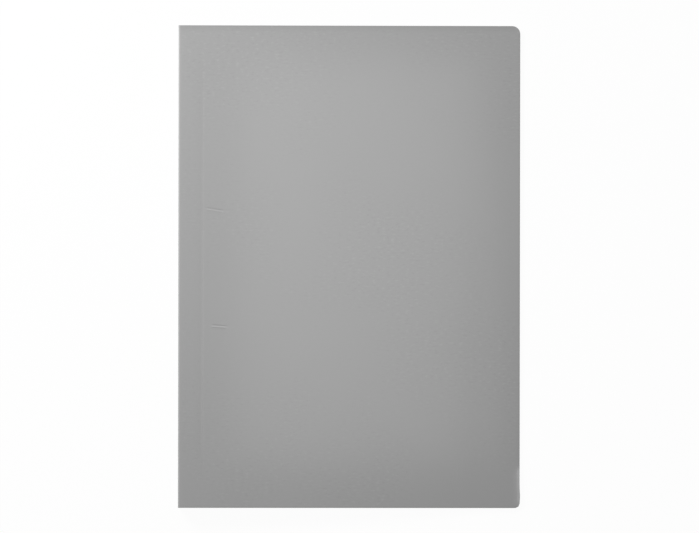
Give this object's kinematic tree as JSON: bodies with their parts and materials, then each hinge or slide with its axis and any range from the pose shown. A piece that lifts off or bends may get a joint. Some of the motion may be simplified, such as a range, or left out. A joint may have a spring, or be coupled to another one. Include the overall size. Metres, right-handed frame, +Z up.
{
  "type": "file folder",
  "caption": "Plain A4 report file folder whose covers open on living hinges, with a prong fastener and sliding locks inside.",
  "frame": {"origin": "middle of the underside of the closed folder", "axes": "+Z up out of the front cover, +Y towards the folder's head along the spine, -X towards the spine"},
  "size_m": [0.227, 0.32, 0.014],
  "materials": {
    "cover_sheet": "satin grained polypropylene sheet, mid grey",
    "carrier_strip": "satin polypropylene strip, darker grey",
    "tinplate": "bright rolled tinplate"
  },
  "bodies": {
    "back": {"back_cover": "cover_sheet", "fastener_carrier": "carrier_strip", "prong_strip": "tinplate", "compressor_bar": "tinplate"},
    "spine": {"spine": "cover_sheet"},
    "strip": {"hinge_strip": "cover_sheet"},
    "front": {"front_cover": "cover_sheet"},
    "slider_head": {"slider_head": "tinplate"},
    "slider_tail": {"slider_tail": "tinplate"}
  },
  "joints": [
    {"name": "spine_fold", "type": "hinge", "parent": "back", "child": "spine", "pos_m": [-0.1135, 0, 0], "axis": [0, -1, 0], "range_deg": [0, 90]},
    {"name": "front_fold", "type": "hinge", "parent": "spine", "child": "strip", "pos_m": [-0.1135, 0, 0.014], "axis": [0, -1, 0], "range_deg": [0, 93.05]},
    {"name": "cover_crease", "type": "hinge", "parent": "strip", "child": "front", "pos_m": [-0.09727, 0, 0.01313], "axis": [0, 1, 0], "range_deg": [-175, 0]},
    {"name": "slider_head_slide", "type": "slide", "parent": "back", "child": "slider_head", "axis": [0, 1, 0], "range_m": [-0.01, 0.014]},
    {"name": "slider_tail_slide", "type": "slide", "parent": "back", "child": "slider_tail", "axis": [0, -1, 0], "range_m": [-0.01, 0.014]}
  ]
}
